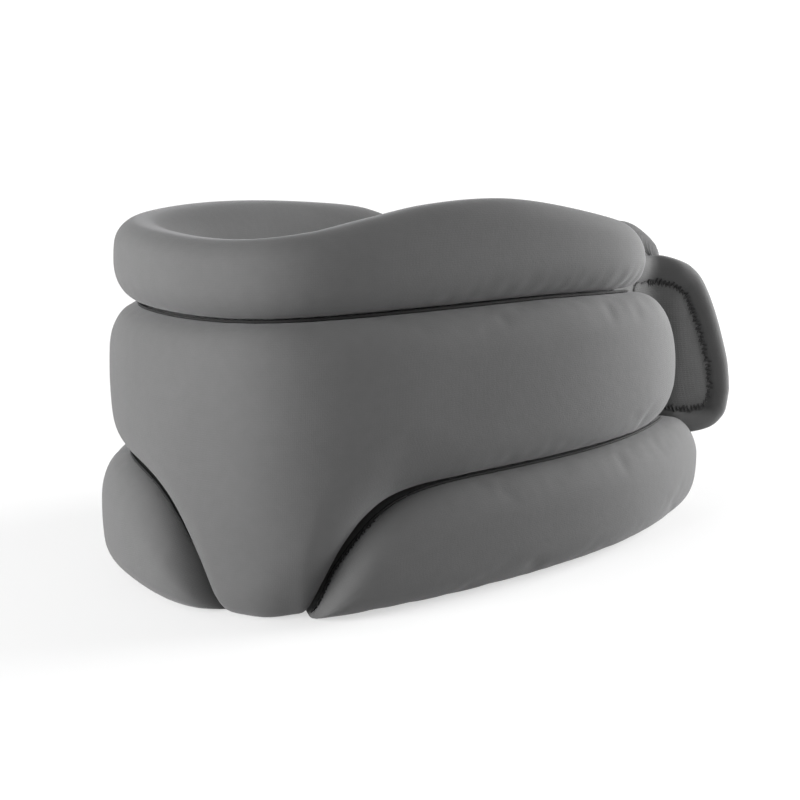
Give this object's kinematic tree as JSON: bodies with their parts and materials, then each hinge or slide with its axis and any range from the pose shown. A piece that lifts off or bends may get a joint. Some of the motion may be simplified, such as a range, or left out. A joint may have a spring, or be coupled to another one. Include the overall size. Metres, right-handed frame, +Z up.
{
  "type": "cervical collar",
  "caption": "Soft three-tier padded neck collar with a chin dip, a breastbone tab, flexing wings, a back band and a hook-and-loop closing tongue.",
  "frame": {"origin": "bottom centre of the bounding box, on the surface the collar stands on", "axes": "+Z up along the neck, -Y towards the chin side, +X towards the wearer's left"},
  "size_m": [0.1522, 0.208, 0.1059],
  "materials": {
    "cover_fabric": "matt grey brushed knit with a short nap, over foam",
    "lining_fabric": "matt grey smooth knit against the neck",
    "foam": "soft open-cell polyurethane foam, hidden inside the covers",
    "loop_fabric": "brushed loop pile for the hook patch",
    "hook_tape": "moulded nylon hook tape"
  },
  "bodies": {
    "front": {"upper_cover_front": "cover_fabric", "upper_foam_front": "foam", "middle_cover_front": "cover_fabric", "middle_foam_front": "foam", "lower_left_cover_front": "cover_fabric", "lower_left_foam_front": "foam", "lower_right_cover_front": "cover_fabric", "lower_right_foam_front": "foam", "lining_front": "lining_fabric"},
    "left_wing": {"upper_cover_left": "cover_fabric", "upper_foam_left": "foam", "middle_cover_left": "cover_fabric", "middle_foam_left": "foam", "lower_left_cover_wing": "cover_fabric", "lower_left_foam_wing": "foam", "lining_left": "lining_fabric", "tongue_root": "cover_fabric"},
    "right_wing": {"upper_cover_right": "cover_fabric", "upper_foam_right": "foam", "middle_cover_right": "cover_fabric", "middle_foam_right": "foam", "lower_right_cover_wing": "cover_fabric", "lower_right_foam_wing": "foam", "lining_right": "lining_fabric", "back_band": "lining_fabric", "loop_face": "loop_fabric"},
    "tongue": {"tongue_cover": "cover_fabric", "tongue_foam": "foam", "tongue_backing": "lining_fabric", "hook_patch": "hook_tape"}
  },
  "joints": [
    {"name": "left_wing_flex", "type": "hinge", "parent": "front", "child": "left_wing", "pos_m": [0.0641, -0.0273, 0.05], "axis": [0, 0, -1], "range_deg": [0, 40], "stiffness_Nm_per_rad": 0.15},
    {"name": "right_wing_flex", "type": "hinge", "parent": "front", "child": "right_wing", "pos_m": [-0.074, -0.0451, 0.05], "axis": [0, 0, 1], "range_deg": [0, 40], "stiffness_Nm_per_rad": 0.15},
    {"name": "tongue_peel", "type": "hinge", "parent": "left_wing", "child": "tongue", "pos_m": [0.0547, 0.0661, 0.06], "axis": [0, 0, -1], "range_deg": [-8, 45]}
  ],
  "couplings": [
    {"joint": "right_wing_flex", "follows": "left_wing_flex", "ratio": 1}
  ]
}
